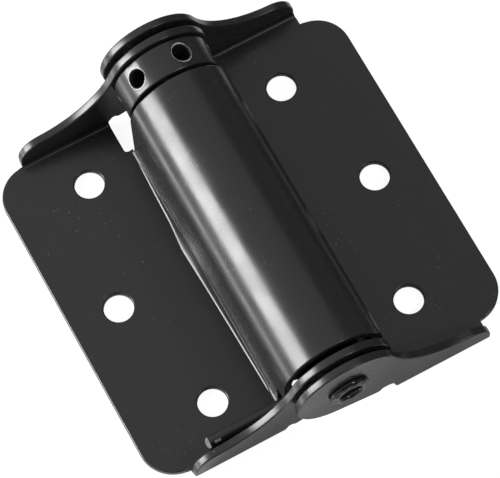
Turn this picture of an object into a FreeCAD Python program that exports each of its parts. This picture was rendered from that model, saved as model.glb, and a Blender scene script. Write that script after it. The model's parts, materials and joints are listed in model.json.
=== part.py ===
import FreeCAD, Part
import math
import os
import Sketcher
from FreeCAD import Placement, Rotation, Vector

# Spring loaded door hinge, open flat, in millimetres.
# X points to the outer leaf, Y runs along the hinge pin to the collar end, Z is up from the leaves' backs.
# The origin lies under the pin's axis, in the middle of the screw holes, on the plane of the leaves' backs.

SIZES = {
    # Sheet and leaves
    "sheet": 1.6,              # thickness of the sheet that both leaves are pressed from
    "leaf_width": 37.6,        # from the pin's axis to a leaf's long outer edge
    "corner_radius": 6.8,      # rounding of a leaf's outer corners
    "bend_radius": 0.8,        # inside radius of every fold
    "barrel_leaf_end": 34.4,   # half length of the barrel leaf's flat plate
    "outer_leaf_end": 35.0,    # half length of the outer leaf's flat plate
    "outer_leaf_inner": 9.6,   # from the pin's axis to the outer leaf's inner edge
    # Screw holes
    "screw_hole": 5.8,         # diameter
    "screw_spacing": 50.0,     # between the two holes of a leaf that lie in line with the pin
    "screw_near": 21.0,        # from the pin's axis to those two holes
    "screw_far": 27.7,         # from the pin's axis to the middle hole
    # Ears
    "pin_height": 15.9,        # height of the pin's axis over the leaves' backs
    "ear_disc_radius": 10.4,   # round head of an ear, about the pin
    "ear_hollow_radius": 18.5, # hollow curve between an ear's head and its tip
    "ear_tip_radius": 5.0,     # rounded tip of an ear
    "ear_tip_height": 3.0,     # height of that rounding's centre over the leaves' backs
    "ear_reach": 30.6,         # from the pin's axis to an ear's tip
    "barrel_ear_low": 34.9,    # from the middle to the inner face of the barrel leaf's ear at the plain end
    "barrel_ear_high": 34.5,   # the same at the collar end
    "barrel_ear_foot": 11.9,   # from the pin's axis to the start of the barrel leaf's folds
    "barrel_foot_radius": 1.4, # relief under the barrel leaf's ears
    "barrel_foot_height": 1.6, # height of that relief's centre over the leaves' backs
    "outer_ear_foot": 10.5,    # from the pin's axis to the start of the outer leaf's folds
    "outer_foot_radius": 2.3,  # relief under the outer leaf's ears
    "outer_foot_height": 2.6,  # height of that relief's centre over the leaves' backs
    # Barrel
    "barrel_radius": 10.3,     # outside of the rolled barrel
    "barrel_fold": 0.7,        # inside radius of the fold between the plate and the barrel's wall
    "barrel_low": 33.7,        # from the middle to the barrel's plain end
    "barrel_high": 26.8,       # from the middle to the barrel's collar end
    "seam_angle": 36.0,        # degrees from the level of the pin down to the rolled sheet's edge
    "leg_window": 3.0,         # length of the cut-out for the spring's leg, along the barrel
    "leg_window_height": 7.6,  # height of that cut-out in the wall, over the plate
    "leg_window_reach": 1.2,   # from the pin's axis to the end of that cut-out under the barrel
    "notch_width": 0.95,       # from the barrel's fold out to the edge of the notch beside the collar
    "notch_lip": 0.65,         # from the barrel's collar end to the start of that notch
    "notch_corner": 0.8,       # rounding of the notch's inner corner
    # Pin and washers
    "pin_radius": 3.0,
    "running_clearance": 0.08, # radial, between the pin and what turns on it
    "rivet_clearance": 0.02,   # radial, between the pin and the ears that it is riveted in
    "face_clearance": 0.05,    # between a washer and each ear beside it
    "washer_radius": 7.2,
    "low_washer": 0.8,         # thickness, at the plain end
    "high_washer": 1.2,        # thickness, at the collar end
    "rim_radius": 3.9,         # foot of the pin's rolled-over rim
    "rim_height": 1.3,
    "rim_crest_radius": 2.8,   # crest of that rim
    "rim_hollow_radius": 2.2,
    "rim_hollow_depth": 3.4,
    "head_radius": 4.4,        # flat head on the pin's other end
    "head_height": 1.3,
    "head_edge": 0.4,          # chamfer of that head
    # Tension collar
    "collar_radius": 9.8,
    "collar_low_gap": 0.95,    # from the barrel's collar end to the collar
    "collar_gap": 0.35,        # from the collar to the ear beside it
    "collar_edge": 0.2,        # chamfer of the collar's edges
    "tension_hole": 3.4,       # diameter of the holes for the stop pin, in the collar's middle
    "tension_hole_depth": 5.2,
    "tension_hole_edge": 0.3,  # chamfer of the holes
    "tension_holes": 6,
    "tension_hole_turn": -40.0, # degrees of the first hole from straight up, towards the outer leaf
    # Torsion spring
    "wire": 2.3,               # diameter
    "coil_radius": 7.0,        # to the middle of the wire
    "coil_turns": 20,          # whole turns, before the part turn up to the collar
    "coil_end_gap": 0.3,       # from the last turn's wire to the barrel's collar end
    "leg_reach": 25.6,         # from the pin's axis to the end of the spring's leg
    "leg_gap": 0.1,            # from the leg's wire to the edge of its cut-out
    "leg_bend": 4.0,           # radius of the leg's two bends, to the middle of the wire
    "leg_slope": 40.0,         # degrees, of the leg between its bends
    "tang_lead": 1.8,          # how far the wire runs on while it bends into the collar
    "tang_depth": 4.0,         # length of the spring's end in the collar
    "tang_clearance": 0.12,    # radial, around the spring's end in the collar
    "lift": 0.03,              # from the spring's leg down to the plate
}


class Size:
    """A length that knows its number and the sheet expression that gives it."""

    def __init__(self, value, text):
        self.value = value
        self.text = text

    def __add__(self, other):
        other = as_size(other)
        return Size(self.value + other.value, "(%s + %s)" % (self.text, other.text))

    def __sub__(self, other):
        other = as_size(other)
        return Size(self.value - other.value, "(%s - %s)" % (self.text, other.text))

    def __mul__(self, other):
        other = as_size(other)
        return Size(self.value * other.value, "(%s * %s)" % (self.text, other.text))

    def __truediv__(self, other):
        other = as_size(other)
        return Size(self.value / other.value, "(%s / %s)" % (self.text, other.text))

    def __neg__(self):
        return self * -1


def as_size(number):
    """A plain number as a Size."""
    if isinstance(number, Size):
        return number
    return Size(float(number), "(%g)" % number)


def cosine(angle):
    return Size(math.cos(math.radians(angle.value)), "cos(%s)" % angle.text)


def sine(angle):
    return Size(math.sin(math.radians(angle.value)), "sin(%s)" % angle.text)


def root(number):
    return Size(math.sqrt(number.value), "sqrt(%s)" % number.text)


def fill_sheet(doc):
    """The driving dimensions, one to a row: the name in column A and the plain number in column B."""
    sheet = doc.addObject("Spreadsheet::Sheet", "Sizes")
    for row, (name, value) in enumerate(SIZES.items(), start=1):
        sheet.set("A%d" % row, name)
        sheet.set("B%d" % row, str(value))
        sheet.setAlias("B%d" % row, name)
    doc.recompute()


def size(name):
    return Size(float(SIZES[name]), "Sizes." + name)


# Sketches

def new_body(doc, name):
    return doc.addObject("PartDesign::Body", name)


def new_sketch(body, name, role, offset=None, along=None):
    """A sketch on one of the body's own planes, offset along its normal and along its first axis."""
    sketch = body.newObject("Sketcher::SketchObject", name)
    plane = [feature for feature in body.Origin.OriginFeatures if feature.Role == role][0]
    sketch.AttachmentSupport = [(plane, "")]
    sketch.MapMode = "FlatFace"
    if offset is not None:
        sketch.setExpression("AttachmentOffset.Base.z", offset.text)
    if along is not None:
        sketch.setExpression("AttachmentOffset.Base.x", along.text)
    return sketch


def bind(sketch, name, constraint, length):
    """Adds a constraint whose value follows the sheet."""
    sketch.renameConstraint(sketch.addConstraint(constraint), name)
    sketch.setExpression("Constraints." + name, length.text)


def which_end(sketch, edge, point):
    """1 or 2: the end of the sketch's edge that lies at the point."""
    ends = [(sketch.getPoint(edge, end) - point).Length for end in (1, 2)]
    return 1 + ends.index(min(ends))


def place_end(sketch, name, edge, point, x, y):
    """Holds one end of an edge at x and y."""
    end = which_end(sketch, edge, point)
    bind(sketch, name + "x", Sketcher.Constraint("DistanceX", -1, 1, edge, end, x.value), x)
    bind(sketch, name + "y", Sketcher.Constraint("DistanceY", -1, 1, edge, end, y.value), y)


def vector(x, y):
    return Vector(x.value, y.value, 0)


def arc_middle(start, end, radius, bulge):
    """The middle of a short arc, on the side that bulge points to."""
    half = (end - start) * 0.5
    rise = radius - math.sqrt(max(radius ** 2 - half.Length ** 2, 0))
    return start + half + Vector(bulge).normalize() * rise


def joined(sketch, edges, points, smooth=()):
    """Joins each edge of a closed outline to the one before it at its point, smoothly where asked."""
    for number, edge in enumerate(edges):
        before = edges[number - 1]
        ends = (which_end(sketch, before, points[number]), which_end(sketch, edge, points[number]))
        kind = "Tangent" if number in smooth else "Coincident"
        sketch.addConstraint(Sketcher.Constraint(kind, before, ends[0], edge, ends[1]))


def rounded_outline(sketch, corners):
    """A closed outline of corners (x, y, radius): a rounded corner joins one line along X and one along Y."""
    stops = []
    count = len(corners)
    for number, (x, y, radius) in enumerate(corners):
        if radius is None:
            stops.append([(x, y)])
            continue
        pair = []
        for other in (corners[number - 1], corners[(number + 1) % count]):
            step_x = math.copysign(1, other[0].value - x.value) if abs(other[0].value - x.value) > 1e-6 else 0
            step_y = math.copysign(1, other[1].value - y.value) if abs(other[1].value - y.value) > 1e-6 else 0
            pair.append((x + radius * step_x, y + radius * step_y))
        stops.append(pair)
    edges, points, arcs = [], [], []
    for number, stop in enumerate(stops):
        if len(stop) == 2:
            start, end = vector(*stop[0]), vector(*stop[1])
            corner = vector(corners[number][0], corners[number][1])
            middle = arc_middle(start, end, corners[number][2].value, corner - (start + end) * 0.5)
            edges.append(sketch.addGeometry(Part.Arc(start, middle, end), False))
            points.append(start)
            arcs.append((edges[-1], corners[number][2]))
        start, end = vector(*stop[-1]), vector(*stops[(number + 1) % count][0])
        edges.append(sketch.addGeometry(Part.LineSegment(start, end), False))
        points.append(start)
    joined(sketch, edges, points)
    flat_stops = [place for stop in stops for place in stop]
    for number, (x, y) in enumerate(flat_stops):
        place_end(sketch, "p%d" % number, edges[number], points[number], x, y)
    for number, (edge, radius) in enumerate(arcs):
        bind(sketch, "r%d" % number, Sketcher.Constraint("Radius", edge, radius.value), radius)


def circle_in(sketch, name, x, y, radius):
    edge = sketch.addGeometry(Part.Circle(vector(x, y), Vector(0, 0, 1), radius.value), False)
    bind(sketch, name + "x", Sketcher.Constraint("DistanceX", -1, 1, edge, 3, x.value), x)
    bind(sketch, name + "y", Sketcher.Constraint("DistanceY", -1, 1, edge, 3, y.value), y)
    bind(sketch, name + "r", Sketcher.Constraint("Radius", edge, radius.value), radius)


def pad(body, sketch, length, reversed_way=False):
    feature = body.newObject("PartDesign::Pad", sketch.Name + "_pad")
    feature.Profile = sketch
    feature.setExpression("Length", length.text)
    feature.Reversed = reversed_way
    return feature


def revolve(body, sketch, kind="PartDesign::Revolution"):
    """Turns a half section about the sketch's own vertical axis."""
    feature = body.newObject(kind, sketch.Name + "_turned")
    feature.Profile = sketch
    feature.ReferenceAxis = (sketch, ["V_Axis"])
    feature.Angle = 360
    return feature


# Booleans of whole shapes

def fuse(doc, name, shapes):
    result = doc.addObject("Part::MultiFuse", name)
    result.Shapes = shapes
    result.Refine = True
    return result


def common(doc, name, base, tool):
    result = doc.addObject("Part::Common", name)
    result.Base = base
    result.Tool = tool
    return result


def cut(doc, name, base, tool):
    result = doc.addObject("Part::Cut", name)
    result.Base = base
    result.Tool = tool
    result.Refine = True
    return result


def place(thing, x, y, z, rotation=None):
    """Places an object whose position follows the sheet."""
    thing.Placement = Placement(Vector(x.value, y.value, z.value), rotation or Rotation())
    thing.setExpression("Placement.Base.x", x.text)
    thing.setExpression("Placement.Base.y", y.text)
    thing.setExpression("Placement.Base.z", z.text)


def box(doc, name, low, high):
    """A box between two corners, each a list of three Sizes."""
    block = doc.addObject("Part::Box", name)
    for side, start, end in zip(("Length", "Width", "Height"), low, high):
        block.setExpression(side, (end - start).text)
    place(block, *low)
    return block


ALONG_Y = Rotation(Vector(1, 0, 0), -90)


def rod(doc, name, radius, start, end):
    """A cylinder about the pin's axis, from start to end along Y."""
    cylinder = doc.addObject("Part::Cylinder", name)
    cylinder.setExpression("Radius", radius.text)
    cylinder.setExpression("Height", (end - start).text)
    place(cylinder, as_size(0), start, size("pin_height"), ALONG_Y)
    return cylinder


def drill(doc, name, x, y):
    """A screw hole's cylinder through the sheet."""
    cylinder = doc.addObject("Part::Cylinder", name)
    cylinder.setExpression("Radius", (size("screw_hole") / 2).text)
    cylinder.setExpression("Height", (size("sheet") * 3).text)
    place(cylinder, x, y, -size("sheet"))
    return cylinder


# Leaves

def ear_sketch(sketch, side, foot, relief, relief_z):
    """An ear's outline in X and Z: disc about the pin, hollow, rounded tip, foot and relief arc."""
    height, disc = size("pin_height"), size("ear_disc_radius")
    hollow, tip = size("ear_hollow_radius"), size("ear_tip_radius")
    tip_x, tip_z = size("ear_reach") - tip, size("ear_tip_height")
    disc_at = Vector(0, height.value, 0)
    tip_at = Vector(side * tip_x.value, tip_z.value, 0)
    # The hollow's centre lies where circles about the disc's and the tip's centres meet
    apart = (tip_at - disc_at).Length
    from_disc, from_tip = disc.value + hollow.value, tip.value + hollow.value
    along = (from_disc ** 2 - from_tip ** 2 + apart ** 2) / (2 * apart)
    aside = math.sqrt(from_disc ** 2 - along ** 2)
    way = (tip_at - disc_at).normalize()
    upward = Vector(-side * way.y, side * way.x, 0)
    hollow_at = disc_at + way * along + upward * aside
    disc_end = disc_at + (hollow_at - disc_at).normalize() * disc.value
    tip_end = tip_at + (hollow_at - tip_at).normalize() * tip.value
    hollow_middle = hollow_at - ((hollow_at - disc_end) + (hollow_at - tip_end)).normalize() * hollow.value
    tip_start = tip_at + Vector(side * tip.value, 0, 0)
    tip_middle = tip_at + ((tip_start - tip_at) + (tip_end - tip_at)).normalize() * tip.value
    relief_x = foot - relief
    relief_at = Vector(side * relief_x.value, relief_z.value, 0)
    slant = cosine(as_size(45))
    start_x, start_z = relief_x - relief * slant, relief_z + relief * slant
    relief_start = Vector(side * start_x.value, start_z.value, 0)
    relief_end = relief_at + Vector(side * relief.value, 0, 0)
    relief_middle = relief_at + (relief_start + relief_end - relief_at * 2).normalize() * relief.value
    # The underside is a line from the relief arc's inner shoulder that touches the disc
    reach = relief_start - disc_at
    lean = math.atan2(reach.y, side * reach.x) - math.acos(disc.value / reach.Length)
    under = disc_at + Vector(side * math.cos(lean), math.sin(lean), 0) * disc.value
    top = disc_at + Vector(-side, 0, 0) * disc.value
    ground_foot = Vector(side * foot.value, 0, 0)
    ground_tip = Vector(side * size("ear_reach").value, 0, 0)
    points = [ground_foot, ground_tip, tip_start, tip_end, disc_end, under, relief_start, relief_end]
    shapes = [
        Part.LineSegment(ground_foot, ground_tip),
        Part.LineSegment(ground_tip, tip_start),
        Part.Arc(tip_start, tip_middle, tip_end),
        Part.Arc(tip_end, hollow_middle, disc_end),
        Part.Arc(disc_end, top, under),
        Part.LineSegment(under, relief_start),
        Part.Arc(relief_start, relief_middle, relief_end),
        Part.LineSegment(relief_end, ground_foot),
    ]
    edges = [sketch.addGeometry(shape, False) for shape in shapes]
    ground, tip_line, tip_arc, hollow_arc, disc_arc, under_line, relief_arc, foot_line = edges
    joined(sketch, edges, points, smooth=(3, 4, 5))
    place_end(sketch, "foot", ground, ground_foot, foot * side, as_size(0))
    place_end(sketch, "reach", ground, ground_tip, size("ear_reach") * side, as_size(0))
    place_end(sketch, "tip", tip_arc, tip_start, size("ear_reach") * side, tip_z)
    place_end(sketch, "relief", relief_arc, relief_start, start_x * side, start_z)
    place_end(sketch, "relief_end", relief_arc, relief_end, foot * side, relief_z)
    bind(sketch, "disc_x", Sketcher.Constraint("DistanceX", -1, 1, disc_arc, 3, 0), as_size(0))
    bind(sketch, "disc_z", Sketcher.Constraint("DistanceY", -1, 1, disc_arc, 3, height.value), height)
    bind(sketch, "tip_z", Sketcher.Constraint("DistanceY", -1, 1, tip_arc, 3, tip_z.value), tip_z)
    for name, edge, radius in (("disc", disc_arc, disc), ("hollow", hollow_arc, hollow),
                               ("tip", tip_arc, tip), ("relief", relief_arc, relief)):
        bind(sketch, name + "_radius", Sketcher.Constraint("Radius", edge, radius.value), radius)


def channel_sketch(sketch, low_inner, high_inner):
    """The folded sheet's section in Y and Z: the plate with an ear standing at each end."""
    sheet, bend = size("sheet"), size("bend_radius")
    outer_bend = bend + sheet
    top = size("pin_height") + size("ear_disc_radius") + sheet
    rounded_outline(sketch, [
        (-low_inner - sheet, as_size(0), outer_bend),
        (high_inner + sheet, as_size(0), outer_bend),
        (high_inner + sheet, top, None),
        (high_inner, top, None),
        (high_inner, sheet, bend),
        (-low_inner, sheet, bend),
        (-low_inner, top, None),
        (-low_inner - sheet, top, None),
    ])


def pressed_ears(doc, name, side, low_inner, high_inner, foot, relief, relief_z):
    """The folded stretch of a leaf with both its ears, cut to the ears' outline."""
    sheet, disc = size("sheet"), size("ear_disc_radius")
    fold = new_body(doc, name + "_fold")
    across = new_sketch(fold, name + "_section", "YZ_Plane", foot * side)
    channel_sketch(across, low_inner, high_inner)
    pad(fold, across, size("ear_reach") - foot, side < 0)
    start, end = sorted((foot * side, disc * -side * 1.5), key=lambda length: length.value)
    top = size("pin_height") + disc + sheet
    slabs = []
    for word, face in (("low", -low_inner - sheet), ("high", high_inner)):
        low_corner, high_corner = (start, face, as_size(0)), (end, face + sheet, top)
        slabs.append(box(doc, "%s_%s_slab" % (name, word), low_corner, high_corner))
    blank = fuse(doc, name + "_blank", [fold] + slabs)
    outline = new_body(doc, name + "_outline")
    flat = new_sketch(outline, name + "_ear", "XZ_Plane", low_inner + sheet * 2)
    ear_sketch(flat, side, foot, relief, relief_z)
    pad(outline, flat, low_inner + high_inner + sheet * 4, True)
    return common(doc, name + "_ears", blank, outline)


def screw_holes(doc, name, side):
    half = size("screw_spacing") / 2
    near, far = size("screw_near") * side, size("screw_far") * side
    spots = (("low", near, -half), ("middle", far, as_size(0)), ("high", near, half))
    return [drill(doc, "%s_%s_hole" % (name, word), x, y) for word, x, y in spots]


def outer_leaf(doc):
    """The leaf whose ears stand outside: the pin is riveted in them."""
    sheet = size("sheet")
    low, high = outer_ear_faces()
    plate = new_body(doc, "outer_plate")
    outline = new_sketch(plate, "outer_plate_outline", "XY_Plane")
    width, end, inner = size("leaf_width"), size("outer_leaf_end"), size("outer_leaf_inner")
    corner, small = size("corner_radius"), size("bend_radius")
    rounded_outline(outline, [
        (inner, -end, small), (width, -end, corner), (width, end, corner), (inner, end, small),
    ])
    pad(plate, outline, sheet)
    ears = pressed_ears(doc, "outer", 1, low, high, size("outer_ear_foot"),
                        size("outer_foot_radius"), size("outer_foot_height"))
    solid = fuse(doc, "outer_solid", [plate, ears])
    pin_hole = rod(doc, "outer_pin_hole", size("pin_radius") + size("rivet_clearance"),
                   -low - sheet * 2, high + sheet * 2)
    tools = fuse(doc, "outer_holes", screw_holes(doc, "outer", 1) + [pin_hole])
    return cut(doc, "outer_leaf", solid, tools)


def barrel_roll(doc):
    """The rolled sheet from the fold beside the plate up the wall and round the barrel to the seam."""
    sheet, radius, height = size("sheet"), size("barrel_radius"), size("pin_height")
    bend = size("barrel_fold")
    inner = radius - sheet
    seam = size("seam_angle")
    fold_x = -(radius + bend)
    inner_seam = (-(inner * cosine(seam)), height - inner * sine(seam))
    outer_seam = (-(radius * cosine(seam)), height - radius * sine(seam))
    stops = [
        (fold_x, as_size(0)), (-inner, bend + sheet), (-inner, height),
        inner_seam, outer_seam, (-radius, height), (-radius, bend + sheet), (fold_x, sheet),
    ]
    points = [vector(*stop) for stop in stops]
    fold_at = Vector(fold_x.value, (bend + sheet).value, 0)
    slant = Vector(1, -1, 0).normalize()
    far_side = Vector(1, 0, 0)
    middle = Vector(0, height.value, 0)
    shapes = [
        Part.Arc(points[0], fold_at + slant * (bend + sheet).value, points[1]),
        Part.LineSegment(points[1], points[2]),
        Part.Arc(points[2], middle + far_side * inner.value, points[3]),
        Part.LineSegment(points[3], points[4]),
        Part.Arc(points[4], middle + far_side * radius.value, points[5]),
        Part.LineSegment(points[5], points[6]),
        Part.Arc(points[6], fold_at + slant * bend.value, points[7]),
        Part.LineSegment(points[7], points[0]),
    ]
    body = new_body(doc, "roll")
    sketch = new_sketch(body, "roll_section", "XZ_Plane", size("barrel_low"))
    edges = [sketch.addGeometry(shape, False) for shape in shapes]
    joined(sketch, edges, points)
    for number, (x, y) in enumerate(stops):
        place_end(sketch, "p%d" % number, edges[number], points[number], x, y)
    for name, edge, length in (("fold_out", 0, bend + sheet), ("bore", 2, inner),
                               ("barrel", 4, radius), ("fold_in", 6, bend)):
        bind(sketch, name, Sketcher.Constraint("Radius", edges[edge], length.value), length)
    pad(body, sketch, size("barrel_low") + size("barrel_high"), True)
    return body


def barrel_leaf(doc):
    """The leaf that carries the barrel: its plate and its two ears, which stand inside the other leaf's."""
    sheet = size("sheet")
    low_ear, high_ear = size("barrel_ear_low"), size("barrel_ear_high")
    width, end, corner = size("leaf_width"), size("barrel_leaf_end"), size("corner_radius")
    low = size("barrel_low")
    fold_x, notch_x, lip = fold_place()
    plate = new_body(doc, "barrel_plate")
    outline = new_sketch(plate, "barrel_plate_outline", "XY_Plane")
    rounded_outline(outline, [
        (-width, -end, corner), (-notch_x, -end, None), (-notch_x, -low, None), (-fold_x, -low, None),
        (-fold_x, lip, None), (-notch_x, lip, size("notch_corner")), (-notch_x, end, None),
        (-width, end, corner),
    ])
    pad(plate, outline, sheet)
    ears = pressed_ears(doc, "barrel", -1, low_ear, high_ear, size("barrel_ear_foot"),
                        size("barrel_foot_radius"), size("barrel_foot_height"))
    solid = fuse(doc, "barrel_leaf_solid", [plate, ears])
    pin_hole = rod(doc, "barrel_pin_hole", size("pin_radius") + size("running_clearance"),
                   -low_ear - sheet * 2, high_ear + sheet * 2)
    tools = fuse(doc, "barrel_leaf_holes", screw_holes(doc, "barrel", -1) + [pin_hole])
    return cut(doc, "barrel_leaf", solid, tools)


def fold_place():
    """The fold's start and the notch's inner edge along X, and the notch's start along Y."""
    fold_x = size("barrel_radius") + size("barrel_fold")
    return fold_x, fold_x + size("notch_width"), size("barrel_high") + size("notch_lip")


def barrel(doc):
    """The barrel, rolled from the barrel leaf's own sheet. It is a solid of its own from the fold on,
    because a plate with ears and a hollow roll are each simpler to use than both in one."""
    sheet, radius = size("sheet"), size("barrel_radius")
    low, high = size("barrel_low"), size("barrel_high")
    fold_x, notch_x, lip = fold_place()
    lip_tab = box(doc, "lip_tab", (-fold_x, high, as_size(0)), (-radius, lip, sheet))
    solid = fuse(doc, "barrel_solid", [barrel_roll(doc), lip_tab])
    window_end = size("leg_window") - low
    beyond = -low - sheet
    seam_z = size("pin_height") - radius * sine(size("seam_angle")) + sheet
    wall_window = box(doc, "wall_window", (-notch_x, beyond, sheet),
                      (-(radius - sheet), window_end, sheet + size("leg_window_height")))
    roll_window = box(doc, "roll_window", (-(radius - sheet), beyond, sheet),
                      (-size("leg_window_reach"), window_end, seam_z))
    return cut(doc, "barrel", solid, fuse(doc, "leg_windows", [wall_window, roll_window]))


# Pin, washers and collar

def outer_ear_faces():
    """The inner faces of the outer leaf's ears, from the middle: each leaves room for its washer."""
    room = size("sheet") + size("face_clearance") * 2
    low = size("barrel_ear_low") + room + size("low_washer")
    high = size("barrel_ear_high") + room + size("high_washer")
    return low, high


def hinge_pin(doc):
    """The riveted pin: a rolled-over hollow rim at the plain end and a flat head at the other."""
    low, high = outer_ear_faces()
    sheet, radius = size("sheet"), size("pin_radius")
    rim_foot, head_foot = -low - sheet, high + sheet
    rim_crest = rim_foot - size("rim_height")
    hollow, depth = size("rim_hollow_radius"), size("rim_hollow_depth")
    edge = size("head_edge")
    body = new_body(doc, "hinge_pin")
    sketch = new_sketch(body, "pin_section", "XY_Plane")
    corners = [
        (as_size(0), rim_crest + depth, None),
        (hollow, rim_crest + depth - hollow / 2, None),
        (hollow, rim_crest, None),
        (size("rim_crest_radius"), rim_crest, None),
        (size("rim_radius"), rim_foot - size("rim_height") / 3, None),
        (size("rim_radius"), rim_foot, None),
        (radius, rim_foot, None),
        (radius, head_foot, None),
        (size("head_radius"), head_foot, None),
        (size("head_radius"), head_foot + size("head_height") - edge, None),
        (size("head_radius") - edge, head_foot + size("head_height"), None),
        (as_size(0), head_foot + size("head_height"), None),
    ]
    rounded_outline(sketch, corners)
    revolve(body, sketch)
    place(body, as_size(0), as_size(0), size("pin_height"))
    return body


def washer(doc, name, face, thickness):
    """A flat ring on the pin, its first face at the given distance along Y."""
    body = new_body(doc, name)
    sketch = new_sketch(body, name + "_ring", "XZ_Plane", -face)
    circle_in(sketch, "rim", as_size(0), as_size(0), size("washer_radius"))
    circle_in(sketch, "bore", as_size(0), as_size(0), size("pin_radius") + size("running_clearance"))
    pad(body, sketch, thickness, True)
    place(body, as_size(0), as_size(0), size("pin_height"))
    return body


def collar_faces():
    """Where the collar starts and ends along Y."""
    return size("barrel_high") + size("collar_low_gap"), size("barrel_ear_high") - size("collar_gap")


def tension_collar(doc):
    """The collar with its ring of holes for the stop pin, and the hole that holds the spring's end."""
    start, end = collar_faces()
    radius, edge = size("collar_radius"), size("collar_edge")
    bore = size("pin_radius") + size("running_clearance")
    body = new_body(doc, "tension_collar")
    section = new_sketch(body, "collar_section", "XY_Plane")
    rounded_outline(section, [
        (bore, start, None), (radius - edge, start, None), (radius, start + edge, None),
        (radius, end - edge, None), (radius - edge, end, None), (bore, end, None),
    ])
    revolve(body, section)
    doc.recompute()
    plain_volume = body.Shape.Volume
    # A half section of one hole, drawn in Y and Z with the hole's own axis upright
    hole, chamfer = size("tension_hole") / 2, size("tension_hole_edge")
    floor, clear = radius - size("tension_hole_depth"), radius + size("sheet")
    drilled = new_sketch(body, "tension_hole_section", "YZ_Plane", along=(start + end) / 2)
    rounded_outline(drilled, [
        (as_size(0), floor, None), (hole, floor, None), (hole, radius - chamfer, None),
        (hole + chamfer + size("sheet"), clear, None), (as_size(0), clear, None),
    ])
    groove = revolve(body, drilled, "PartDesign::Groove")
    doc.recompute()
    ring = body.newObject("PartDesign::PolarPattern", "tension_hole_ring")
    ring.Originals = [groove]
    ring.Axis = ([feature for feature in body.Origin.OriginFeatures if feature.Role == "Y_Axis"][0], [""])
    ring.Angle = 360
    ring.setExpression("Occurrences", size("tension_holes").text)
    body.Tip = ring
    doc.recompute()
    # The spring's end goes in half way between two tension holes
    half_step = as_size(180) / size("tension_holes")
    coil, lead = size("coil_radius"), size("tang_lead")
    stand = root(coil * coil + lead * lead)
    entry = new_sketch(body, "spring_hole", "XZ_Plane", -start)
    circle_in(entry, "tang", stand * sine(half_step), stand * cosine(half_step),
              size("wire") / 2 + size("tang_clearance"))
    pocket = body.newObject("PartDesign::Pocket", "spring_pocket")
    pocket.Profile = entry
    pocket.setExpression("Length", (size("tang_depth") + size("tang_clearance")).text)
    pocket.Reversed = False
    doc.recompute()
    if body.Shape.Volume >= plain_volume or pocket.Shape.Volume >= ring.Shape.Volume:
        raise RuntimeError("a hole in the tension collar cuts nothing")
    turned = Rotation(Vector(0, 1, 0), SIZES["tension_hole_turn"])
    place(body, as_size(0), as_size(0), size("pin_height"), turned)
    return body


# Torsion spring

def bend_between(start, way_in, way_out, radius):
    """An arc from start that turns from one direction to another, and the point where it ends."""
    turn = way_in.getAngle(way_out)
    end = start + (way_in + way_out) * (radius * math.tan(turn / 2))
    inward = (way_out - way_in * way_in.dot(way_out)).normalize()
    centre = start + inward * radius
    middle = centre + ((start - centre) + (end - centre)).normalize() * radius
    return Part.Arc(start, middle, end).toShape(), end


def torsion_spring(doc):
    """Left-hand coil in the barrel: one end is a leg on the barrel leaf, the other stands in the collar."""
    wire, coil, height = SIZES["wire"], SIZES["coil_radius"], SIZES["pin_height"]
    leg_y = -SIZES["barrel_low"] + SIZES["leg_window"] - SIZES["leg_gap"] - wire / 2
    leg_z = SIZES["sheet"] + SIZES["lift"] + wire / 2
    last_y = SIZES["barrel_high"] - SIZES["coil_end_gap"] - wire / 2
    # Angles run from straight down towards the outer leaf, as the wire does going up the coil
    hole_step = 180.0 / SIZES["tension_holes"]
    tang_from_top = SIZES["tension_hole_turn"] + hole_step
    bend_lead = math.degrees(math.atan2(SIZES["tang_lead"], coil))
    part_turn = (180.0 - tang_from_top - bend_lead) / 360.0
    turns = SIZES["coil_turns"] + part_turn
    pitch = (last_y - leg_y) / turns
    rise = math.atan2(pitch, 2 * math.pi * coil)

    def along_wire(angle):
        """The wire's direction at an angle from straight down."""
        return Vector(math.cos(angle) * math.cos(rise), math.sin(rise), math.sin(angle) * math.cos(rise))

    helix = Part.makeLongHelix(pitch, last_y - leg_y, coil, 0, True)
    helix.Placement = Placement(Vector(0, leg_y, height), coil_frame())
    coil_start = Vector(0, leg_y, height - coil)
    # The leg, from the coil back to its end on the plate
    slope = math.radians(SIZES["leg_slope"])
    down = Vector(-math.cos(slope), 0, -math.sin(slope))
    level = Vector(-1, 0, 0)
    upper_bend, upper_end = bend_between(coil_start, along_wire(0) * -1, down, SIZES["leg_bend"])
    lower_drop = SIZES["leg_bend"] * (1 - math.cos(slope))
    ramp = (upper_end.z - leg_z - lower_drop) / math.sin(slope)
    ramp_end = upper_end + down * ramp
    lower_bend, lower_end = bend_between(ramp_end, down, level, SIZES["leg_bend"])
    leg_end = Vector(-SIZES["leg_reach"], lower_end.y, lower_end.z)
    # The tang, from the coil's other end into the collar
    last_angle = 2 * math.pi * turns
    coil_end = Vector(coil * math.sin(last_angle), last_y, height - coil * math.cos(last_angle))
    axial = Vector(0, 1, 0)
    tang_radius = SIZES["tang_lead"] / math.cos(rise) / math.tan((math.pi / 2 - rise) / 2)
    tang_bend, tang_start = bend_between(coil_end, along_wire(last_angle), axial, tang_radius)
    tang_end = Vector(tang_start.x, collar_faces()[0].value + SIZES["tang_depth"], tang_start.z)
    runs = [
        Part.LineSegment(leg_end, lower_end).toShape(), lower_bend,
        Part.LineSegment(ramp_end, upper_end).toShape(), upper_bend,
    ]
    runs += helix.Edges + [tang_bend, Part.LineSegment(tang_start, tang_end).toShape()]
    path = Part.Wire(Part.sortEdges(runs)[0])
    section = Part.Wire(Part.Circle(leg_end, Vector(1, 0, 0), wire / 2).toShape())
    solid = path.makePipeShell([section], True, False)
    spring = doc.addObject("Part::Feature", "torsion_spring")
    spring.Shape = solid
    expected = math.pi * (wire / 2) ** 2 * path.Length
    print("spring: turns %.2f, pitch %.3f, wire length %.1f, volume %.1f of %.1f"
          % (turns, pitch, path.Length, solid.Volume, expected))
    return spring


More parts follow.
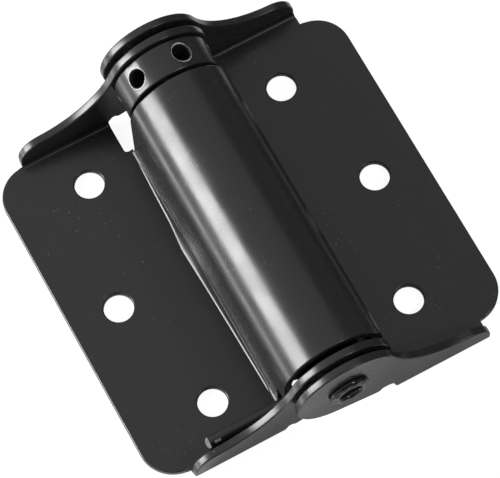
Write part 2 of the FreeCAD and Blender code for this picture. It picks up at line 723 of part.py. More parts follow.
def coil_frame():
    """Turns a left-hand helix about +Z from +X into one about +Y that starts straight down."""
    start_down = Vector(0, 0, -1)
    along_pin = Vector(0, 1, 0)
    third = along_pin.cross(start_down)
    return Rotation(start_down, third, along_pin, "ZXY")


def check(doc, parts):
    """Stops when an object failed or a sub-part has no sound solid."""
    doc.recompute()
    for thing in doc.Objects:
        if "Invalid" in thing.State or "Error" in thing.State:
            raise RuntimeError("%s failed: %s" % (thing.Name, thing.State))
    for part in parts:
        shape = part.Shape
        if shape.isNull() or not shape.isValid() or len(shape.Solids) != 1:
            raise RuntimeError("%s is not one sound solid" % part.Name)


def main():
    doc = FreeCAD.newDocument("spring_hinge")
    fill_sheet(doc)
    low_face = outer_ear_faces()[0]
    clear = size("face_clearance")
    high_face = size("barrel_ear_high") + size("sheet")
    parts = [
        barrel_leaf(doc),
        barrel(doc),
        outer_leaf(doc),
        hinge_pin(doc),
        tension_collar(doc),
        torsion_spring(doc),
        washer(doc, "low_washer", -low_face + clear, size("low_washer")),
        washer(doc, "high_washer", high_face + clear, size("high_washer")),
    ]
    for part in parts:
        part.Label = part.Name
    check(doc, parts)
    os.makedirs("parts", exist_ok=True)
    for part in parts:
        part.Shape.exportStep("parts/%s.step" % part.Label)
        corner = part.Shape.BoundBox
        print("%-16s volume %8.1f  x %.2f %.2f  y %.2f %.2f  z %.2f %.2f" % (
            part.Label, part.Shape.Volume, corner.XMin, corner.XMax,
            corner.YMin, corner.YMax, corner.ZMin, corner.ZMax))


main()
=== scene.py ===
# %% [markdown]
# # A spring loaded door hinge
#
# Two pressed steel leaves turn on one riveted pin. The left leaf's sheet is rolled into a barrel that
# hides a torsion spring, and a small drilled collar at the barrel's end sets how hard the spring pulls.
# All of it wears the same thin, half glossy black coat, and bare steel shows only where an edge was cut.
# A few thin highlights on small edges are painted in as pale grey steel.
#
# The solids come from the imported CAD model. They are exact but have knife sharp edges, and a black
# object is read mostly from the light on its edges. So the shapes stay, and this script gives them soft
# edges, the small forms that a press and a riveting tool leave, and the coat itself.

# %% Load the frame
import json
import math

import bmesh
import bpy
from mathutils import Matrix, Vector
from mathutils.kdtree import KDTree


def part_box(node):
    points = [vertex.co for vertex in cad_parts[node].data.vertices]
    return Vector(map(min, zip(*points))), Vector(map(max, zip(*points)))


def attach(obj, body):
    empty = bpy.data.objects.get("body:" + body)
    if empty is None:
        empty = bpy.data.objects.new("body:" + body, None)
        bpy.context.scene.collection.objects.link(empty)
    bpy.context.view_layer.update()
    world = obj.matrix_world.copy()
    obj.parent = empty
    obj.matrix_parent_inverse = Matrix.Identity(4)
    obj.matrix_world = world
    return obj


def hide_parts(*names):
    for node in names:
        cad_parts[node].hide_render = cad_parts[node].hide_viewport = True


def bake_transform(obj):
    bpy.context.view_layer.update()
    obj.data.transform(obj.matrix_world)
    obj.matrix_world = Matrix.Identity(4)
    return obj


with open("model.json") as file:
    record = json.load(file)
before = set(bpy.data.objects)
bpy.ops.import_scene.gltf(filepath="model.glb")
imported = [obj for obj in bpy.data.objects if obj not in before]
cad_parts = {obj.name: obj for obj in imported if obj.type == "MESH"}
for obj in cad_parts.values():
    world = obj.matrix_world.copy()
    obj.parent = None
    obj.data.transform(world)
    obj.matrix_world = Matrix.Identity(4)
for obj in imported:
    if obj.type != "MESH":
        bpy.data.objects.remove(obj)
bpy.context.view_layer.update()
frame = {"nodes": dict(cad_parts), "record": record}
bpy.ops.object.select_all(action="DESELECT")

MM = 0.001
SHEET = 1.6 * MM
PIN_Z = 15.9 * MM
print("nodes:", sorted(frame["nodes"]))

# %% [markdown]
# ## Camera
#
# The photograph looks down on the hinge from a long way off, turned so that the pin runs from the upper
# left to the lower right. A long lens keeps the pin's two ends nearly the same size. The camera could be
# placed by eye, but its place was worked out from the six screw holes, whose spacing is taken as known,
# so its axes are written out as three unit vectors.

# %% Camera
LENS = 215.69
CAMERA_PLACE = (-0.087363, -0.185213, 0.532985)
TO_RIGHT = Vector((0.878729, -0.476862, -0.020912))
TO_TOP = Vector((0.451658, 0.816516, 0.359593))
TO_BACK = Vector((-0.154401, -0.325430, 0.932875))

camera_data = bpy.data.cameras.new("product_camera")
camera = bpy.data.objects.new("product_camera", camera_data)
bpy.context.scene.collection.objects.link(camera)
axes = Matrix((TO_RIGHT, TO_TOP, TO_BACK)).transposed().to_4x4()
camera.matrix_world = Matrix.Translation(CAMERA_PLACE) @ axes
camera_data.lens = LENS
camera_data.sensor_width = 36
camera_data.clip_start, camera_data.clip_end = 0.01, 20
bpy.context.scene.camera = camera
print("camera height: %.0f mm" % (camera.location.z / MM))

# %% [markdown]
# ## Floor and sky
#
# A dark glossy thing shows its surroundings more than its own colour. The flat leaves mirror what is
# overhead, which is an even white, dimmed by the coat to a dark grey.
#
# The floor is white paper. Most of its white is seen by the camera only, and the rest answers to the
# lamps, so that a pale shadow stays under the hinge. In the hinge's own gloss it is plain lit paper.
# One way would be a big lamp under the paper, but then the edges that face down would shine as well.

# %% Floor and sky
FLOOR_SIZE = 3.0
FLOOR_DROP = 0.05 * MM
FLOOR_GLOW = 0.92
PAPER_SEEN, PAPER_MIRRORED = 0.15, 0.7
SKY_FILL = 0.55


def grey(value):
    return (value, value, value, 1)


def new_material(name):
    material = bpy.data.materials.new(name)
    material.use_nodes = True
    tree = material.node_tree
    shader = tree.nodes["Principled BSDF"]
    return material, tree, shader


def seen_by(tree, *kinds):
    """A socket that is 1 for these kinds of light ray, and 0 for the rest."""
    path = tree.nodes.new("ShaderNodeLightPath")
    seen = path.outputs[kinds[0]]
    for kind in kinds[1:]:
        either = tree.nodes.new("ShaderNodeMath")
        either.operation = "MAXIMUM"
        tree.links.new(seen, either.inputs[0])
        tree.links.new(path.outputs[kind], either.inputs[1])
        seen = either.outputs[0]
    return seen


bpy.ops.mesh.primitive_plane_add(size=FLOOR_SIZE, location=(0, 0, -FLOOR_DROP))
floor = bpy.context.object
floor.name = "paper_floor"
paper, tree, shader = new_material("white_paper")
tree.nodes.remove(shader)
lit = tree.nodes.new("ShaderNodeBsdfDiffuse")
lit.inputs["Color"].default_value = grey(PAPER_MIRRORED)
dimmed = tree.nodes.new("ShaderNodeBsdfDiffuse")
dimmed.inputs["Color"].default_value = grey(PAPER_SEEN)
glow = tree.nodes.new("ShaderNodeEmission")
glow.inputs["Strength"].default_value = FLOOR_GLOW
glowing = tree.nodes.new("ShaderNodeAddShader")
choice = tree.nodes.new("ShaderNodeMixShader")
tree.links.new(dimmed.outputs[0], glowing.inputs[0])
tree.links.new(glow.outputs[0], glowing.inputs[1])
tree.links.new(seen_by(tree, "Is Camera Ray", "Is Transmission Ray"), choice.inputs[0])
tree.links.new(lit.outputs[0], choice.inputs[1])
tree.links.new(glowing.outputs[0], choice.inputs[2])
tree.links.new(choice.outputs[0], tree.nodes["Material Output"].inputs["Surface"])
floor.data.materials.append(paper)

sky = bpy.data.worlds.new("white_sky")
bpy.context.scene.world = sky
sky.use_nodes = True
sky_tree = sky.node_tree
fill = sky_tree.nodes["Background"]
fill.inputs["Color"].default_value = grey(1)
fill.inputs["Strength"].default_value = SKY_FILL
white = sky_tree.nodes.new("ShaderNodeBackground")
white.inputs["Color"].default_value = grey(1)
sky_choice = sky_tree.nodes.new("ShaderNodeMixShader")
direct = seen_by(sky_tree, "Is Camera Ray", "Is Glossy Ray", "Is Transmission Ray")
sky_tree.links.new(direct, sky_choice.inputs[0])
sky_tree.links.new(fill.outputs[0], sky_choice.inputs[1])
sky_tree.links.new(white.outputs[0], sky_choice.inputs[2])
sky_tree.links.new(sky_choice.outputs[0], sky_tree.nodes["World Output"].inputs["Surface"])
print("stage:", floor.name, "under", sky.name)

# %% [markdown]
# ## Lamps and cards
#
# The long bright streak on the barrel and the bright patches on the ears are one tall soft box, low on
# the left. A narrow strip of light on the floor gives the barrel its second, weaker streak. One small
# lamp, front right, adds the hair thin bright line on top of each edge.
#
# Dark things matter as much. Two grey cards on the right, one upright and one lying, darken that side of
# the barrel, and a nearly black card in front draws the dark lines along the rounded edges. They show
# only in reflections.

# %% Lamps
LAMP_DISTANCE = 0.8
OVER_PAPER = 0.3 * MM


def soft_box(name, direction, distance, width, height, watts):
    """A rectangular lamp that faces the hinge from the given direction."""
    data = bpy.data.lights.new(name, "AREA")
    data.shape = "RECTANGLE"
    data.size, data.size_y = width, height
    data.energy = watts
    lamp = bpy.data.objects.new(name, data)
    bpy.context.scene.collection.objects.link(lamp)
    away = Vector(direction).normalized()
    lamp.location = away * distance
    lamp.rotation_euler = away.to_track_quat("Z", "Y").to_euler()
    lamp.visible_camera = False
    print("lamp %s: %.2f W" % (name, watts))
    return lamp


soft_box("side_soft_box", (-0.894, 0.323, 0.36), LAMP_DISTANCE, width=0.30, height=0.48, watts=14.0)
floor_strip = soft_box("floor_reflector", (0, 0, -1), 0.0, width=0.014, height=0.16, watts=0.05)
floor_strip.location = (-0.048, 0.012, OVER_PAPER)
floor_strip.rotation_euler = (math.radians(180), 0, 0)
soft_box("corner_lamp", (0.411, -0.534, 0.739), LAMP_DISTANCE, width=0.15, height=0.15, watts=1.8)


# %% Cards
def reflected_card(name, location, rotation, scale, shade):
    """A card that only shiny surfaces see."""
    bpy.ops.mesh.primitive_plane_add(size=1, location=location, rotation=rotation)
    card = bpy.context.object
    card.name = name
    card.scale = scale
    material, _, shader = new_material(name)
    shader.inputs["Base Color"].default_value = grey(shade)
    shader.inputs["Roughness"].default_value = 0.9
    shader.inputs["Specular IOR Level"].default_value = 0.0
    card.data.materials.append(material)
    card.visible_camera = False
    card.visible_diffuse = False
    card.visible_shadow = False
    print("card %s: grey %.2f" % (name, shade))


UPRIGHT = math.radians(90)
reflected_card("grey_card", (0.30, 0.10, 0.20), (0, UPRIGHT, 0), (0.40, 0.8, 1), shade=0.15)
reflected_card("low_card", (0.30, 0.10, OVER_PAPER), (0, 0, 0), (0.51, 0.9, 1), shade=0.06)
reflected_card("black_card", (0, -0.45, 0.39), (UPRIGHT, 0, 0), (1.2, 0.78, 1), shade=0.09)

bpy.context.scene.view_settings.view_transform = "Standard"

# %% [markdown]
# ## Working by hand, in code
#
# An operator works on whatever is selected, as it does under the mouse. So each step first selects one
# piece, goes into edit mode, and then picks faces or edges by where they are or which way they face.


# %% Small helpers for edit mode
def only(piece):
    """Selects this piece and nothing else."""
    if bpy.context.object and bpy.context.object.mode != "OBJECT":
        bpy.ops.object.mode_set(mode="OBJECT")
    bpy.ops.object.select_all(action="DESELECT")
    piece.select_set(True)
    bpy.context.view_layer.objects.active = piece


def pick(piece, kind, wanted):
    """In edit mode, selects the vertices, edges or faces for which wanted(element) is true."""
    bpy.ops.mesh.select_mode(type=kind)
    bpy.ops.mesh.select_all(action="DESELECT")
    mesh = bmesh.from_edit_mesh(piece.data)
    elements = {"VERT": mesh.verts, "EDGE": mesh.edges, "FACE": mesh.faces}[kind]
    count = 0
    for element in elements:
        if wanted(element):
            element.select_set(True)
            count += 1
    mesh.select_flush_mode()
    bmesh.update_edit_mesh(piece.data)
    return count


def applied(piece, kind, **values):
    """Adds a modifier with these values and applies it."""
    only(piece)
    modifier = piece.modifiers.new(kind.lower(), kind)
    for name, value in values.items():
        setattr(modifier, name, value)
    bpy.ops.object.modifier_apply(modifier=modifier.name)


def smooth(piece, angle):
    """Smooths the shading over edges that turn less than angle, in degrees."""
    only(piece)
    bpy.ops.object.shade_smooth_by_angle(angle=math.radians(angle))


# %% [markdown]
# ## The two leaves and the collar
#
# Each leaf is one sheet, cut, folded up into two ears and, on the left, rolled into the barrel. The CAD
# solids already have that shape. Modelling it again from a plane would only copy it, so the meshes are
# copied, their loose triangles are joined, and flat neighbours are dissolved into whole faces. The left
# leaf comes as two solids that meet along the fold, and a union makes one skin of them.

# %% Copy the solids
WELD = 0.002 * MM
FLAT = math.radians(0.5)


def merged(piece):
    """Joins loose triangles and makes flat faces whole."""
    only(piece)
    bpy.ops.object.mode_set(mode="EDIT")
    bpy.ops.mesh.select_all(action="SELECT")
    bpy.ops.mesh.remove_doubles(threshold=WELD)
    bpy.ops.mesh.dissolve_limited(angle_limit=FLAT)
    bpy.ops.object.mode_set(mode="OBJECT")


def merged_copy(node, name):
    """A copy of a CAD node, ready to be worked on."""
    piece = bpy.data.objects.new(name, frame["nodes"][node].data.copy())
    bpy.context.scene.collection.objects.link(piece)
    only(piece)
    bpy.ops.mesh.customdata_custom_splitnormals_clear()
    merged(piece)
    return piece


def united(piece, other):
    """Makes one skin of two pieces that meet face to face."""
    applied(piece, "BOOLEAN", operation="UNION", solver="EXACT", object=other)
    bpy.data.objects.remove(other)
    merged(piece)


rolled_leaf = merged_copy("barrel_leaf", "rolled_barrel_leaf")
united(rolled_leaf, merged_copy("barrel", "roll"))
riveted_leaf = merged_copy("outer_leaf", "riveted_outer_leaf")
collar = merged_copy("tension_collar", "drilled_collar")
for piece in (rolled_leaf, riveted_leaf, collar):
    print(piece.name, "faces before rounding:", len(piece.data.polygons))

# %% [markdown]
# ## Soft edges
#
# A press and a tumbling barrel leave about a third of a millimetre on each sharp edge, and those rounds
# are what catch the light in thin bright lines. A Bevel modifier on all edges would fold over itself
# where three or more of them meet. So the outward edges away from such corners are given a bevel weight,
# and the modifier follows the weights. Weighted normals keep the flat faces flat in the light.

# %% Choose the edges
SHARP = math.radians(32)
SHARP_TURN = math.radians(50)
CORNER_MARGIN = 0.6 * MM


def clean_edges(mesh):
    """The outward edges that a bevel can round: those away from corners where three or more creases meet."""
    creases = {edge for edge in mesh.edges if edge.is_manifold and edge.calc_face_angle() > SHARP}
    corners = []
    for vertex in mesh.verts:
        meeting = [edge for edge in vertex.link_edges if edge in creases]
        if not meeting:
            continue
        ways = [(edge.other_vert(vertex).co - vertex.co).normalized() for edge in meeting]
        plain = len(meeting) == 2 and all(edge.is_convex for edge in meeting)
        if not plain or ways[0].angle(-ways[1]) > SHARP_TURN:
            corners.append(vertex.co.copy())
    if not corners:
        return [edge for edge in creases if edge.is_convex]
    tree = KDTree(len(corners))
    for number, corner in enumerate(corners):
        tree.insert(corner, number)
    tree.balance()
    return [edge for edge in creases
            if edge.is_convex and min(tree.find(vertex.co)[2] for vertex in edge.verts) > CORNER_MARGIN]


# %% Round the edges
LEAF_ROUND = 0.31 * MM
COLLAR_ROUND = 0.15 * MM


def rounded_edges(piece, radius):
    """Rounds the piece's clean edges and smooths the rest of its shading."""
    mesh = bmesh.new()
    mesh.from_mesh(piece.data)
    weight = mesh.edges.layers.float.new("bevel_weight_edge")
    chosen = clean_edges(mesh)
    for edge in chosen:
        edge[weight] = 1
    mesh.to_mesh(piece.data)
    mesh.free()
    applied(piece, "BEVEL", width=radius, segments=3, limit_method="WEIGHT",
            use_clamp_overlap=False, miter_outer="MITER_SHARP")
    smooth(piece, 40)
    applied(piece, "WEIGHTED_NORMAL", keep_sharp=True)
    print(piece.name, "edges rounded:", len(chosen), "faces:", len(piece.data.polygons))


rounded_edges(rolled_leaf, LEAF_ROUND)
rounded_edges(riveted_leaf, LEAF_ROUND)
rounded_edges(collar, COLLAR_ROUND)

# %% [markdown]
# ## The crease beside the barrel
#
# Where the sheet turns up into the barrel's wall, the press leaves a sharp little step along the fold.
# It is hardly a quarter of a millimetre high, but it faces the soft box and shows as a thin bright line.
# The line bows out near the middle of the barrel, where the corner behind it rises more steeply and
# shows as a soft grey patch. It could be cut into the leaf, but a flat strip laid over the fold leaves
# the leaf's own faces clean. The strip's columns are lifted one after the other.

# %% Fold crease
WALL_X = -10.25
CREASE = ((-30.4, -10.75), (-14.5, -11.1), (-6.8, -11.3), (4.4, -11.7), (10.4, -11.15),
          (15.6, -10.98), (26.6, -10.6))
STEP_COLUMNS = ((-0.14, -0.02), (0.01, 0.10), (0.16, 0.22))
COLUMNS, ROWS = 4, 60
TAPER = 18
PATCH_Y, PATCH_SPREAD = 2.5, 6.5


def crease_place(y):
    """Where the crease's step lies along X at a height along the barrel, in millimetres."""
    for (low, start), (high, end) in zip(CREASE, CREASE[1:]):
        if y <= high:
            return start + (end - start) * (y - low) / (high - low)
    return CREASE[-1][1]


def slope_behind(y):
    """How steeply the corner rises behind the step."""
    return 0.10 + 0.32 * math.exp(-((y - PATCH_Y) / PATCH_SPREAD) ** 2)


def fold_crease():
    """A strip along the fold: three columns shape the step, and the others run on to the wall."""
    bpy.ops.mesh.primitive_grid_add(x_subdivisions=COLUMNS, y_subdivisions=ROWS, size=1)
    ridge = bpy.context.object
    ridge.name = "fold_crease"
    low, high = CREASE[0][0], CREASE[-1][0]
    last_step = len(STEP_COLUMNS) - 1
    for vertex in ridge.data.vertices:
        across, along = round((vertex.co.x + 0.5) * COLUMNS), vertex.co.y + 0.5
        y = low + (high - low) * along
        tip = min(1, min(along, 1 - along) * TAPER)
        step, lift = STEP_COLUMNS[min(across, last_step)]
        x = crease_place(y) + step
        if across > last_step:
            run = (WALL_X - x) * (across - last_step) / (COLUMNS - last_step)
            x, lift = x + run, lift + run * slope_behind(y)
        vertex.co = (x * MM, y * MM, SHEET + lift * tip * MM)
    smooth(ridge, 60)
    print("crease faces:", len(ridge.data.polygons))
    return ridge


crease = fold_crease()

# %% [markdown]
# ## The riveted pin
#
# The pin is turned from rod. One end has a plain head, and the other is hollow and was rolled over with
# a peening tool, which leaves a rim with shallow dents. A cylinder with loops cut into it would do, but
# the pin is built up here from a single ring of vertices that is extruded along the pin and made wider
# or narrower at each stop, as on a lathe. Then the rim's vertices are moved in and out in slow waves.

# %% Pin
PIN_HEAD = ((3.6, 40.3), (3.95, 40.25), (4.25, 40.1), (4.4, 39.85), (4.4, 39.15), (4.3, 39.0))
PIN_SHANK = ((3.0, 39.0), (3.0, -38.99))
PIN_RIM = ((3.95, -39.0), (4.05, -39.12), (4.05, -39.42), (3.92, -39.75), (3.65, -40.02), (3.3, -40.2),
           (2.95, -40.26), (2.65, -40.2), (2.42, -40.02), (2.28, -39.75), (2.2, -39.3))
PIN_HOLLOW = ((2.15, -38.2), (2.1, -37.2), (1.6, -36.95), (0.8, -36.75))


def lathe(name, stops, sides=64):
    """Extrudes a ring along Y about the pin's axis through the stops (radius, y), in millimetres."""
    radius, start = stops[0]
    bpy.ops.mesh.primitive_circle_add(vertices=sides, radius=radius * MM, fill_type="NGON",
                                      location=(0, start * MM, PIN_Z), rotation=(math.radians(90), 0, 0))
    piece = bpy.context.object
    piece.name = name
    bpy.ops.object.transform_apply(location=True, rotation=True, scale=True)
    bpy.ops.object.mode_set(mode="EDIT")
    for next_radius, y in stops[1:]:
        bpy.ops.mesh.extrude_region_move(TRANSFORM_OT_translate={"value": (0, (y - start) * MM, 0)})
        factor = next_radius / radius
        bpy.ops.transform.resize(value=(factor, 1, factor), center_override=(0, y * MM, PIN_Z))
        radius, start = next_radius, y
    bpy.ops.mesh.select_all(action="SELECT")
    bpy.ops.mesh.normals_make_consistent(inside=False)
    bpy.ops.object.mode_set(mode="OBJECT")
    return piece


pin = lathe("riveted_pin", PIN_HEAD + PIN_SHANK + PIN_RIM + PIN_HOLLOW)
print("pin faces:", len(pin.data.polygons))

# %% Dents in the pin's rim
RIM_START, RIM_INSIDE = -39.2 * MM, 2.25 * MM
CREST, CREST_WIDTH = 3.3 * MM, 0.6 * MM
DENTS, WIDE_DENTS, LOBES = 9, 5, 4
DENT_DEPTH, LOBE_GROWTH = 0.11 * MM, 0.012

dented = 0
for vertex in pin.data.vertices:
    x, y, z = vertex.co.x, vertex.co.y, vertex.co.z - PIN_Z
    radius = math.hypot(x, z)
    if y > RIM_START or radius < RIM_INSIDE:
        continue
    turn = math.atan2(x, z)
    wave = math.cos(DENTS * turn + 0.7) + 0.5 * math.cos(WIDE_DENTS * turn + 2.1)
    near_crest = math.exp(-((radius - CREST) / CREST_WIDTH) ** 2)
    vertex.co.y += DENT_DEPTH * near_crest * (1 + 0.8 * wave)
    grow = 1 + LOBE_GROWTH * math.cos(LOBES * turn + 1.0) * near_crest
    vertex.co.x, vertex.co.z = x * grow, PIN_Z + z * grow
    dented += 1
smooth(pin, 50)
print("rim vertices moved:", dented)

# %% [markdown]
# ## The torsion spring
#
# A coil could be a curve with a round bevel, but then its ends could not be bent and cut by hand. So it
# is one ring of wire turned about the pin's axis while it moves along it, which is what the Screw
# modifier does.

# %% Spring coil
WIRE = 1.15 * MM
COIL = 7.0 * MM
COIL_START, COIL_END = -31.95 * MM, 25.35 * MM
COIL_TURNS = 20.487
COIL_STEPS = round(COIL_TURNS * 26)
WIRE_SIDES = 14
rise = math.atan2((COIL_END - COIL_START) / COIL_TURNS, 2 * math.pi * COIL)


def wire_way(angle):
    """The wire's direction at an angle round the coil from straight down."""
    return Vector((math.cos(angle) * math.cos(rise), math.sin(rise), math.sin(angle) * math.cos(rise)))


bpy.ops.mesh.primitive_circle_add(vertices=WIRE_SIDES, radius=WIRE, fill_type="NOTHING")
spring = bpy.context.object
spring.name = "spring_wire"
start = Vector((0, COIL_START, PIN_Z - COIL))
across_wire = wire_way(0).to_track_quat("Z", "Y").to_matrix().to_4x4()
spring.matrix_world = Matrix.Translation(start) @ across_wire
bpy.ops.object.transform_apply(location=True, rotation=True, scale=True)
for vertex in spring.data.vertices:
    vertex.co.z -= PIN_Z
applied(spring, "SCREW", axis="Y", angle=-2 * math.pi * COIL_TURNS, screw_offset=COIL_END - COIL_START,
        steps=COIL_STEPS, render_steps=COIL_STEPS, use_merge_vertices=False)
for vertex in spring.data.vertices:
    vertex.co.z += PIN_Z
print("coil faces:", len(spring.data.polygons))

# %% [markdown]
# ## The spring's two ends
#
# The leg that presses on the left leaf, and the tang that reaches into the collar, are made from the
# coil's own end rings: spin a ring for each bend and extrude it for each straight, so that wire and coil
# stay one skin. The leg has two short rings more than it needs, so that a short bright highlight can be
# painted between them, and its last ring is tilted as a shear leaves it.


# %% Helpers for bending wire
def turn_ring(way_in, way_out, radius, at, steps):
    """Spins the selected ring from one direction to another. Gives the point where its middle ends."""
    angle = way_in.angle(way_out)
    inward = (way_out - way_in * way_in.dot(way_out)).normalized()
    centre = at + inward * radius
    axis = way_in.cross(way_out).normalized()
    bpy.ops.mesh.spin(steps=steps, angle=-angle, center=centre, axis=axis)
    return at + (way_in + way_out) * (radius * math.tan(angle / 2))


def run_ring(way, length):
    """Extrudes the selected ring in a straight line."""
    bpy.ops.mesh.extrude_region_move(TRANSFORM_OT_translate={"value": way * length})


def end_ring(piece, middle):
    """Selects the open ring of wire round a point."""
    reach = WIRE * 1.02
    return pick(piece, "EDGE", lambda edge: edge.is_boundary and all(
        (vertex.co - middle).length < reach for vertex in edge.verts))


# %% Spring leg
LEG_SLOPE = math.radians(40)
LEG_BEND = 4.0 * MM
LEG_LIFT = 0.03 * MM
LEG_Z = SHEET + LEG_LIFT + WIRE
# Where along the leg, in millimetres, a short bright highlight is painted in pale steel.
HIGHLIGHT_SPAN = (-24.6, -23.3)
LEG_STOPS = (HIGHLIGHT_SPAN[1], HIGHLIGHT_SPAN[0], -25.52, -25.6)
SHEAR_PINCH, SHEAR_TILT = 0.95, math.radians(26)
DOWN = Vector((-math.cos(LEG_SLOPE), 0, -math.sin(LEG_SLOPE)))
LEVEL = Vector((-1, 0, 0))

only(spring)
bpy.ops.object.mode_set(mode="EDIT")
print("leg ring edges:", end_ring(spring, start))
here = turn_ring(-wire_way(0), DOWN, LEG_BEND, start, 6)
ramp = (here.z - LEG_Z - LEG_BEND * (1 - math.cos(LEG_SLOPE))) / math.sin(LEG_SLOPE)
run_ring(DOWN, ramp)
here = turn_ring(DOWN, LEVEL, LEG_BEND, here + DOWN * ramp, 6)
for stop in LEG_STOPS:
    run_ring(LEVEL, here.x - stop * MM)
    here.x = stop * MM
bpy.ops.transform.resize(value=(1, SHEAR_PINCH, SHEAR_PINCH), center_override=here)
bpy.ops.transform.rotate(value=-SHEAR_TILT, orient_axis="Y", center_override=here)
bpy.ops.mesh.edge_face_add()

# %% Spring tang
TANG_LEAD = 1.8 * MM
TANG_END = 31.6 * MM
ALONG_PIN = Vector((0, 1, 0))

last = 2 * math.pi * COIL_TURNS
coil_end = Vector((COIL * math.sin(last), COIL_END, PIN_Z - COIL * math.cos(last)))
print("tang ring edges:", end_ring(spring, coil_end))
tang_bend = TANG_LEAD / math.cos(rise) / math.tan((math.pi / 2 - rise) / 2)
here = turn_ring(wire_way(last), ALONG_PIN, tang_bend, coil_end, 8)
run_ring(ALONG_PIN, TANG_END - here.y)
bpy.ops.mesh.edge_face_add()
bpy.ops.mesh.select_all(action="SELECT")
bpy.ops.mesh.remove_doubles(threshold=WELD)
bpy.ops.mesh.normals_make_consistent(inside=False)
bpy.ops.object.mode_set(mode="OBJECT")
smooth(spring, 45)
spring_low, spring_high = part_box("torsion_spring")
leg_reach = min(vertex.co.x for vertex in spring.data.vertices)
tang_reach = max(vertex.co.y for vertex in spring.data.vertices)
print("spring reaches x %.2f, y %.2f mm" % (leg_reach / MM, tang_reach / MM))
print("in the CAD solid x %.2f, y %.2f mm" % (spring_low[0] / MM, spring_high[1] / MM))

# %% [markdown]
# ## The coat
#
# All of the hinge wears one black coat. Three things keep it from looking like plastic. Its surface is
# never quite flat: a very shallow waviness, a bit over a millimetre wide, and a fine grain on it. Its
# gloss changes a little from place to place. And a few specks of dust lie on it. Each effect is a node
# group that gives one value or one normal, so that every material can mix them in its own strength.
#
# All patterns run on object coordinates. Every piece keeps its origin at the hinge's own origin, so a
# pattern has one real size, in metres, all over the hinge.


# %% Helpers for shader nodes
def new_group(name, inputs, outputs):
    """A node group. Each input is (name, value) and each output (name, kind)."""
    group = bpy.data.node_groups.new(name, "ShaderNodeTree")
    for socket, value in inputs:
        made = group.interface.new_socket(name=socket, in_out="INPUT", socket_type="NodeSocketFloat")
        made.default_value = value
    for socket, kind in outputs:
        group.interface.new_socket(name=socket, in_out="OUTPUT", socket_type=kind)
    return group, group.nodes.new("NodeGroupInput"), group.nodes.new("NodeGroupOutput")


def noise(tree, scale, detail):
    """Noise on object coordinates, scale in waves to the metre."""
    place = tree.nodes.new("ShaderNodeTexCoord")
    node = tree.nodes.new("ShaderNodeTexNoise")
    node.inputs["Scale"].default_value = scale
    node.inputs["Detail"].default_value = detail
    tree.links.new(place.outputs["Object"], node.inputs["Vector"])
    return node.outputs["Fac"]


def mapped(tree, value, low, high, to_low, to_high):
    """Maps a value from one range to another and keeps it inside."""
    node = tree.nodes.new("ShaderNodeMapRange")
    ends = ("From Min", "From Max", "To Min", "To Max")
    for socket, number in zip(ends, (low, high, to_low, to_high)):
        node.inputs[socket].default_value = number
    tree.links.new(value, node.inputs["Value"])
    return node.outputs["Result"]


def times(tree, first, second):
    """The product of two sockets, or of a socket and a number."""
    node = tree.nodes.new("ShaderNodeMath")
    node.operation = "MULTIPLY"
    for socket, value in zip(node.inputs, (first, second)):
        if isinstance(value, (int, float)):
            socket.default_value = value
        else:
            tree.links.new(value, socket)
    return node.outputs[0]


# %% Shared effects
WAVE_SCALE, WAVE_HEIGHT = 750, 0.012 * MM
GRAIN_SCALE, GRAIN_HEIGHT = 5200, 0.003 * MM
PATCH_SCALE = 160
SPECK_SCALE, DUSTY_SCALE = 2600, 90


def uneven_coat():
    """The normal of a sprayed coat: waves of about 1.3 mm with a finer grain on them."""
    strengths = [("Waves", 0.5), ("Grain", 0.5)]
    group, given, result = new_group("uneven_coat", strengths, [("Normal", "NodeSocketVector")])
    waves = group.nodes.new("ShaderNodeBump")
    waves.inputs["Distance"].default_value = WAVE_HEIGHT
    group.links.new(noise(group, WAVE_SCALE, 1.0), waves.inputs["Height"])
    group.links.new(given.outputs["Waves"], waves.inputs["Strength"])
    grain = group.nodes.new("ShaderNodeBump")
    grain.inputs["Distance"].default_value = GRAIN_HEIGHT
    group.links.new(noise(group, GRAIN_SCALE, 2.0), grain.inputs["Height"])
    group.links.new(given.outputs["Grain"], grain.inputs["Strength"])
    group.links.new(waves.outputs["Normal"], grain.inputs["Normal"])
    group.links.new(grain.outputs["Normal"], result.inputs["Normal"])
    return group


def gloss_change():
    """A value about 1 that makes the gloss patchy, as handling does."""
    group, given, result = new_group("gloss_change", [("Amount", 0.15)], [("Factor", "NodeSocketFloat")])
    patches = mapped(group, noise(group, PATCH_SCALE, 3.0), 0.35, 0.65, -1, 1)
    swing = times(group, patches, given.outputs["Amount"])
    one = group.nodes.new("ShaderNodeMath")
    one.operation = "ADD"
    one.inputs[1].default_value = 1.0
    group.links.new(swing, one.inputs[0])
    group.links.new(one.outputs[0], result.inputs["Factor"])
    return group


def dust_specks():
    """A mask of a few small specks, thicker in some patches than in others."""
    group, given, result = new_group("dust_specks", [("Amount", 1.0)], [("Mask", "NodeSocketFloat")])
    specks = mapped(group, noise(group, SPECK_SCALE, 0.0), 0.77, 0.83, 0, 1)
    patches = mapped(group, noise(group, DUSTY_SCALE, 2.0), 0.52, 0.66, 0, 1)
    dusty = times(group, specks, patches)
    group.links.new(times(group, dusty, given.outputs["Amount"]), result.inputs["Mask"])
    return group


UNEVEN, GLOSS, DUST = uneven_coat(), gloss_change(), dust_specks()
print("shared effects:", UNEVEN.name, GLOSS.name, DUST.name)

# %% [markdown]
# ## Five materials
#
# Three are coats: the one on the pressed parts, the same a little duller on the spring, and the one on
# the pin's rolled rim, wet and black and scratched round and round by the tool. One is bare steel, grey
# where the spring's wire was sheared off. The last is a paler grey steel that paints highlights: a thin
# bright ring round the collar's holes and a short bright streak on the spring's leg.

# %% Coats
COAT_IOR = 1.36
PATCHY = 0.14
DUST_COLOUR = (0.12, 0.115, 0.11, 1)


def use_group(tree, group, **values):
    """Places a shared effect in a material with its own values."""
    node = tree.nodes.new("ShaderNodeGroup")
    node.node_tree = group
    for name, value in values.items():
        node.inputs[name].default_value = value
    return node.outputs[0]


